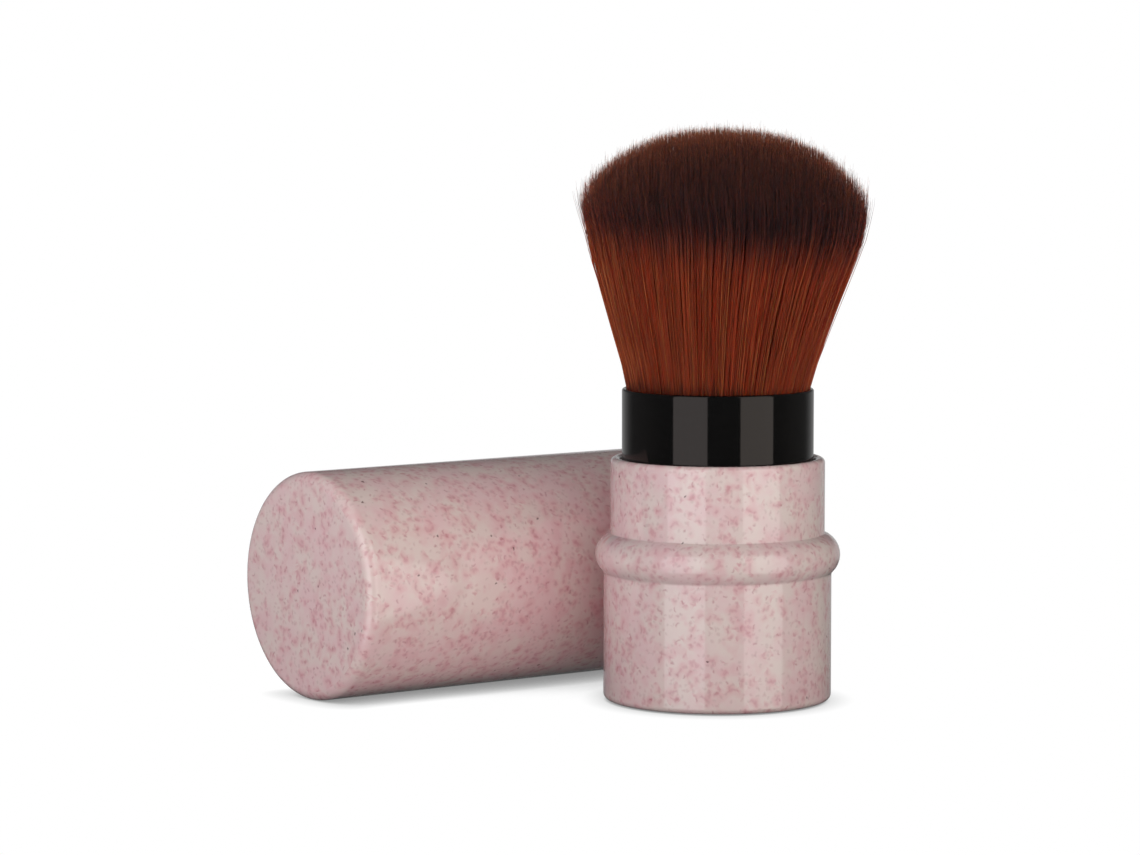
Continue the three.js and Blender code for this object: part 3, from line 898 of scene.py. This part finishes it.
def make_cap(material):
    """The cap is drawn standing on its mouth, then laid along X behind the brush."""
    ceiling = CAP_LENGTH - CAP_END_WALL
    cap = turned("cap_shell_visual", [
        (0, ceiling, 0),
        (CAP_BORE_RADIUS, ceiling, CAP_INNER_EDGE),
        (CAP_BORE_RADIUS, 0, CAP_MOUTH_EDGE),
        (CAP_RADIUS, 0, CAP_MOUTH_EDGE),
        (CAP_RADIUS, CAP_LENGTH, CAP_EDGE),
        (0, CAP_LENGTH, 0),
    ], material=material)
    place = Vector((CAP_LENGTH - CAP_END_OUT, CAP_AXIS_OUT, CAP_RADIUS)) * MM
    cap.data.transform(Matrix.Translation(place) @ Matrix.Rotation(-math.pi / 2, 4, "Y"))
    return cap


def make_knot(material):
    return turned("knot_visual", [
        (0, KNOT_BOTTOM, 0),
        (KNOT_RADIUS, KNOT_BOTTOM, SMALL_EDGE),
        (KNOT_RADIUS, KNOT_TOP - SMALL_EDGE, SMALL_EDGE),
        (0, KNOT_TOP - SMALL_EDGE, 0),
    ], material=material)


def dome_height(share):
    """Height of the cut head at a share of its radius."""
    rise = (1 - np.clip(share, 0, 1) ** HEAD_DOME_POWER) ** HEAD_DOME_ROUND
    return HEAD_WIDEST_HEIGHT + (HEAD_TOP - HAIR_LOW_DOME - HEAD_WIDEST_HEIGHT) * rise


def outline_radius(height):
    """Radius of the head's outside at a height: a straight flare that eases to the widest circle."""
    heights = [KNOT_TOP - HAIR_SUNK, FERRULE_TOP, HEAD_FLARE_HEIGHT, HEAD_WIDEST_HEIGHT]
    return np.interp(height, heights, [HAIR_ROOT_RADIUS, HAIR_RIM_RADIUS, HEAD_FLARE_RADIUS, HEAD_RADIUS])


def spiral(count, wobble, random):
    """Evenly spread points of the unit disc, with each one's share of the radius and turn."""
    number = np.arange(count)
    share = np.sqrt((number + 0.5) / count)
    turn = number * GOLDEN_TURN + random.normal(0, wobble, count)
    return share, turn, np.stack([share * np.cos(turn), share * np.sin(turn)], 1)


def ring_steps():
    """How far along a hair each of its rings lies, as shares that crowd towards the tip."""
    return 1 - (1 - np.linspace(0, 1, HAIR_RINGS)) ** HAIR_STEP_POWER


def clump_pulls(root, random):
    """How far each hair is drawn towards the middle of its clump, in shares of the head's radius."""
    middles = spiral(CLUMP_COUNT, CLUMP_WOBBLE, random)[2]
    nearest = ((root[:, None, :] - middles[None, :, :]) ** 2).sum(2).argmin(1)
    strength = CLUMP_PULL * random.random(CLUMP_COUNT)
    return (middles[nearest] - root) * strength[nearest][:, None]


def hair_heights(share, outer, stray, random):
    """Heights of each hair's rings, up to the cut dome. Strays reach a little above it."""
    jitter = HAIR_TIP_JITTER + HAIR_SIDE_JITTER * outer
    top = dome_height(share) + random.normal(0, 1, HAIR_COUNT) * jitter
    top += stray * random.random(HAIR_COUNT) * HAIR_STRAY_RISE
    bottom = KNOT_TOP - HAIR_SUNK
    return bottom + (top - bottom)[:, None] * ring_steps()[None, :]


def hair_sway(random):
    """One or two slow waves along each hair, growing from nothing at its root."""
    steps = ring_steps()[None, :, None]
    phase = random.random((HAIR_COUNT, 2)) * TAU
    waves = 1.0 + random.random(HAIR_COUNT)
    angle = TAU * waves[:, None, None] * steps + phase[:, None, :]
    return HAIR_WAVE * (np.sin(angle) - np.sin(phase)[:, None, :]) * steps


def hair_paths(random):
    """Centre lines of all hairs in millimetres, as (hair, ring, xyz), with each hair's share and turn."""
    share, turn, root = spiral(HAIR_COUNT, HAIR_WOBBLE, random)
    towards = clump_pulls(root, random)
    stray = random.random(HAIR_COUNT) < HAIR_STRAY_SHARE
    outer = share ** HAIR_OUTER_POWER
    height = hair_heights(share, outer, stray, random)
    steps = ring_steps()[None, :, None]
    pull = np.sin(np.pi * np.clip(steps * CLUMP_OPENS, 0, 1)) ** CLUMP_POWER
    plan = (root[:, None, :] + towards[:, None, :] * pull) * outline_radius(height)[:, :, None]
    wider = 1 + HAIR_OUTER_SPREAD * outer[:, None]
    spread = random.normal(0, HAIR_SPREAD_JITTER, (HAIR_COUNT, 2)) * wider
    loose = root * (stray * random.random(HAIR_COUNT) * HAIR_STRAY_REACH)[:, None]
    plan += spread[:, None, :] * steps ** HAIR_SPREAD_POWER
    plan += loose[:, None, :] * steps ** HAIR_STRAY_POWER
    plan += hair_sway(random)
    lean = np.interp(height - FERRULE_TOP, HEAD_LEAN_RISES, HEAD_LEANS) * steps[:, :, 0] ** HEAD_LEAN_POWER
    plan[:, :, 0] += lean * math.cos(HEAD_LEAN_TURN)
    plan[:, :, 1] += lean * math.sin(HEAD_LEAN_TURN)
    return np.concatenate([plan, height[:, :, None]], 2), share, turn % TAU


def hair_map(paths, share, turn, random):
    """Each hair's column of the map, and how far up it each of its rings lies."""
    dip = DYE_TILT * share * np.cos(turn - DYE_TILT_TURN) + random.normal(0, DYE_JITTER, HAIR_COUNT)
    height = paths[:, :, 2]
    dyed = np.clip(dye_share(height + dip[:, None]), 0, DYE_MAP_SHARE)
    # The last stretch of each hair takes the tip part of the map, which is painted redder as glow
    tip = np.clip(1 - (height[:, -1:] - height) / TIP_LENGTH, 0, 1)
    # A few outermost hairs get golden columns: a painted glow of light through the head's edge
    golden = (share > GLOW_OUTER_SHARE) & (random.random(HAIR_COUNT) < GLOW_CHANCE)
    shade = random.random(HAIR_COUNT)
    glow_column = 1 - shade * HAIR_GLOW_SHARE * BELOW_ONE
    rust_column = shade * (1 - HAIR_GLOW_SHARE) * BELOW_ONE
    own = np.where(golden, glow_column, rust_column)
    return np.floor(own * HAIR_SHADES) / HAIR_SHADES, dyed + (1 - DYE_MAP_SHARE) * tip


def hair_corner_map(column, rise):
    """The map at each face corner of a set of hairs: first the tubes' sides, then their ends."""
    left = column + MAP_INSET / HAIR_SHADES
    right = column + (1 - MAP_INSET) / HAIR_SHADES
    low, high = rise[:, :-1], rise[:, 1:]
    across = np.stack([left, right, right, left], 1)[:, None, None, :]
    up = np.stack([low, low, high, high], 2)[:, :, None, :]
    sides = np.stack(np.broadcast_arrays(across, np.repeat(up, HAIR_SIDES, axis=2)), -1).reshape(-1, 2)
    top = rise[:, -1]
    ends = np.stack([
        np.stack([left, right, (left + right) / 2], 1),
        np.stack([top, top, top - MAP_END_DROP], 1),
    ], -1).reshape(-1, 2)
    return np.concatenate([sides, ends])


def hair_mesh(paths, column, rise):
    """One mesh of fine tapered tubes along the paths."""
    taper = np.clip((ring_steps() - HAIR_TAPER_SHARE) / (1 - HAIR_TAPER_SHARE), 0, 1)
    thickness = HAIR_RADIUS + (HAIR_TIP_RADIUS - HAIR_RADIUS) * taper ** HAIR_TAPER_POWER
    angles = TAU * np.arange(HAIR_SIDES) / HAIR_SIDES
    ring = np.stack([np.cos(angles), np.sin(angles), np.zeros(HAIR_SIDES)], 1)
    corners = paths[:, :, None, :] + thickness[None, :, None, None] * ring[None, None, :, :]
    grid = np.arange(len(paths) * HAIR_RINGS * HAIR_SIDES).reshape(-1, HAIR_RINGS, HAIR_SIDES)
    beside = np.roll(grid, -1, axis=2)
    faces = np.stack([grid[:, :-1], beside[:, :-1], beside[:, 1:], grid[:, 1:]], -1).reshape(-1, 4)
    ends = grid[:, -1, :].reshape(-1, HAIR_SIDES)
    mesh = bpy.data.meshes.new("hair")
    mesh.from_pydata((corners.reshape(-1, 3) * MM).tolist(), [], faces.tolist() + ends.tolist())
    layer = mesh.uv_layers.new(name="OFBake")
    layer.data.foreach_set("uv", hair_corner_map(column, rise).ravel())
    mesh.polygons.foreach_set("use_smooth", [True] * len(mesh.polygons))
    return mesh


def make_hair(material):
    """The head's hair in sectors."""
    random = np.random.default_rng(HAIR_SEED)
    paths, share, turn = hair_paths(random)
    column, rise = hair_map(paths, share, turn, random)
    sector = np.floor(turn / TAU * HAIR_SECTORS).astype(int) % HAIR_SECTORS
    for number in range(HAIR_SECTORS):
        chosen = np.flatnonzero(sector == number)
        mesh = hair_mesh(paths[chosen], column[chosen], rise[chosen])
        piece = as_object(f"bristle_hair_{number + 1:02d}", mesh, material)
        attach(piece, "brush")
        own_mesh(piece)
        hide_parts(f"bristles_{number * 4 // HAIR_SECTORS + 1}")


def fit(piece, body, node):
    """Seats a finished piece on its body, in place of its CAD node."""
    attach(piece, body)
    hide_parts(node)


def make_object():
    pink = speckled_plastic("speckled_pink", WHITE, SLEEVE_BOUNCE)
    # The cap's copy of the plastic is painted lighter: painted light
    lit_cap_pink = speckled_plastic("speckled_pink_cap_lightened", CAP_PAINTED_LIGHT, CAP_BOUNCE)
    black = gloss_black("gloss_black")
    satin = satin_black("black_plastic")
    steel = turned_steel("steel")
    rubber = black_rubber("rubber")
    fit(make_sleeve(pink), "sleeve", "outer_sleeve")
    fit(make_retainer(satin), "sleeve", "retaining_ring")
    fit(make_cap(lit_cap_pink), "cap", "cap_shell")
    fit(make_foot(pink), "brush", "end_plate")
    fit(make_core(satin), "brush", "core_tube")
    fit(make_holder(satin), "brush", "bristle_holder")
    fit(make_weight(steel), "brush", "weight_ring")
    fit(make_screw(steel), "brush", "holder_screw")
    fit(make_friction_ring(rubber), "brush", "friction_ring")
    fit(make_ferrule(black), "brush", "ferrule")
    knot = make_knot(knot_resin("knot_resin"))
    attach(knot, "brush")
    make_hair(two_tone_hair("bristle_brown"))


def make_camera():
    data = bpy.data.cameras.new("camera")
    data.lens = CAMERA_LENS
    data.sensor_width = CAMERA_SENSOR
    data.clip_start = CAMERA_CLIP_START * MM
    data.clip_end = CAMERA_CLIP_END * MM
    camera = bpy.data.objects.new("camera", data)
    camera.location = CAMERA_PLACE * MM
    camera.rotation_euler = (math.pi / 2 - CAMERA_DROP, 0, CAMERA_TURN)
    bpy.context.scene.collection.objects.link(camera)
    bpy.context.scene.camera = camera


def make_light(name, turn, colour):
    data = bpy.data.lights.new(name, "AREA")
    data.shape = "RECTANGLE"
    data.size = LIGHT_WIDE * MM
    data.size_y = LIGHT_TALL * MM
    data.energy = LIGHT_STRENGTH * data.size * data.size_y
    data.color = colour
    light = bpy.data.objects.new(name, data)
    away = CAMERA_TURN + turn
    light.location = Vector((
        LIGHT_DISTANCE * math.sin(away), -LIGHT_DISTANCE * math.cos(away), LIGHT_HEIGHT,
    )) * MM
    light.rotation_euler = (math.pi / 2, 0, away)
    light.visible_camera = False
    light.visible_diffuse = False
    bpy.context.scene.collection.objects.link(light)


def dot(tree, first, second):
    """The dot product of two directions."""
    return put(tree, "ShaderNodeVectorMath", {0: first, 1: second}, operation="DOT_PRODUCT").outputs["Value"]


def fill_level(tree, facing, aside, up):
    """Strength of the diffuse light from a direction."""
    steep = maths(tree, "MULTIPLY", maths(tree, "MULTIPLY", up, up), 1 - FILL_ZENITH)
    front = maths(tree, "MULTIPLY", maths(tree, "MAXIMUM", facing, 0.0), FILL_FRONT)
    level = maths(tree, "ADD", FILL_EVEN, front)
    level = maths(tree, "SUBTRACT", level, maths(tree, "MULTIPLY", aside, FILL_LEFT_BIAS))
    level = maths(tree, "MULTIPLY", level, maths(tree, "SUBTRACT", 1.0, steep))
    return maths(tree, "ADD", level, ramped(tree, facing, FILL_BACK_EDGE, FILL_BACK_CORE, 0.0, FILL_BACK))


def gloss_level(tree, facing, up):
    """Strength of what gloss reflects from a direction."""
    sides = ramped(tree, facing, GLOSS_FRONT_EDGE, GLOSS_SIDES_EDGE, GLOSS_FRONT, GLOSS_SIDES)
    backdrop = ramped(tree, facing, BACKDROP_EDGE, BACKDROP_CORE, 0.0, GLOSS_BACKDROP - GLOSS_SIDES)
    foot = ramped(tree, up, *BACKDROP_FOOT)
    head = ramped(tree, up, *BACKDROP_HEAD)
    level_band = maths(tree, "MULTIPLY", foot, head)
    return maths(tree, "ADD", sides, maths(tree, "MULTIPLY", backdrop, level_band))


def make_world():
    """The room: white to the camera, with a light of its own for matt surfaces and one for gloss."""
    world = bpy.data.worlds.new("studio")
    bpy.context.scene.world = world
    world.use_nodes = True
    tree = world.node_tree
    tree.nodes.clear()
    direction = put(tree, "ShaderNodeTexCoord").outputs["Generated"]
    facing = dot(tree, direction, (math.sin(CAMERA_TURN), -math.cos(CAMERA_TURN), 0.0))
    aside = dot(tree, direction, (math.cos(CAMERA_TURN), math.sin(CAMERA_TURN), 0.0))
    up = put(tree, "ShaderNodeSeparateXYZ", {"Vector": direction}).outputs["Z"]
    path = put(tree, "ShaderNodeLightPath")
    fill = maths(tree, "MULTIPLY", path.outputs["Is Diffuse Ray"], fill_level(tree, facing, aside, up))
    gloss = maths(tree, "MULTIPLY", gloss_level(tree, facing, up), path.outputs["Is Glossy Ray"])
    seen = maths(tree, "ADD", path.outputs["Is Camera Ray"], path.outputs["Is Transmission Ray"])
    strength = maths(tree, "ADD", maths(tree, "ADD", fill, gloss), seen)
    tint = mixed(tree, ramped(tree, aside, -1.0, 1.0), FILL_LEFT_TINT, FILL_RIGHT_TINT)
    colour = mixed(tree, path.outputs["Is Diffuse Ray"], WHITE, tint)
    background = put(tree, "ShaderNodeBackground", {"Color": colour, "Strength": strength})
    output = tree.nodes.new("ShaderNodeOutputWorld")
    tree.links.new(background.outputs[0], output.inputs["Surface"])


def openness(tree, reach):
    """How open the floor is to what lies within reach: 1 in the open, and less near the object."""
    inputs = {"Distance": reach * MM}
    return put(tree, "ShaderNodeAmbientOcclusion", inputs, samples=SHADE_SAMPLES).outputs["AO"]


def make_floor():
    """A round white table top, bright to the camera but for the object's shadow."""
    radius = FLOOR_RADIUS * MM
    turns = [TAU * i / FLOOR_STEPS for i in range(FLOOR_STEPS)]
    mesh = bpy.data.meshes.new("floor")
    rim = [(radius * math.cos(turn), radius * math.sin(turn), 0.0) for turn in turns]
    mesh.from_pydata(rim, [], [list(range(FLOOR_STEPS))])
    material, tree, shader = new_material("floor")
    shader.inputs["Roughness"].default_value = 1.0
    shader.inputs["Specular IOR Level"].default_value = 0.0
    seen = put(tree, "ShaderNodeLightPath").outputs["Is Camera Ray"]
    wide = openness(tree, SHADE_REACH)
    close = openness(tree, CONTACT_REACH)
    shade = maths(tree, "DIVIDE", wide, SHADE_FREE, clamp=True)
    shade = maths(tree, "ADD", maths(tree, "MULTIPLY", shade, 1 - SHADE_DARKEST), SHADE_DARKEST)
    # Near the object the floor's colour for bounced light is darkened by its openness: painted shade
    bounced = mixed(tree, 1.0, srgb(*FLOOR_WHITE), close, "MULTIPLY")
    tree.links.new(mixed(tree, seen, bounced, BLACK), shader.inputs["Base Color"])
    contact = maths(tree, "MULTIPLY", maths(tree, "SUBTRACT", 1.0, close), CONTACT_STRENGTH)
    contact = maths(tree, "SUBTRACT", 1.0, contact)
    glow = maths(tree, "MULTIPLY", seen, maths(tree, "MULTIPLY", shade, contact))
    tree.links.new(glow, shader.inputs["Emission Strength"])
    shader.inputs["Emission Color"].default_value = WHITE
    floor = as_object("floor", mesh, material)
    floor.visible_glossy = False


make_camera()
make_object()
make_light("soft_box_left", LEFT_TURN, LEFT_COLOUR)
make_light("soft_box_right", RIGHT_TURN, RIGHT_COLOUR)
make_world()
make_floor()

bpy.context.scene.view_settings.view_transform = "Standard"
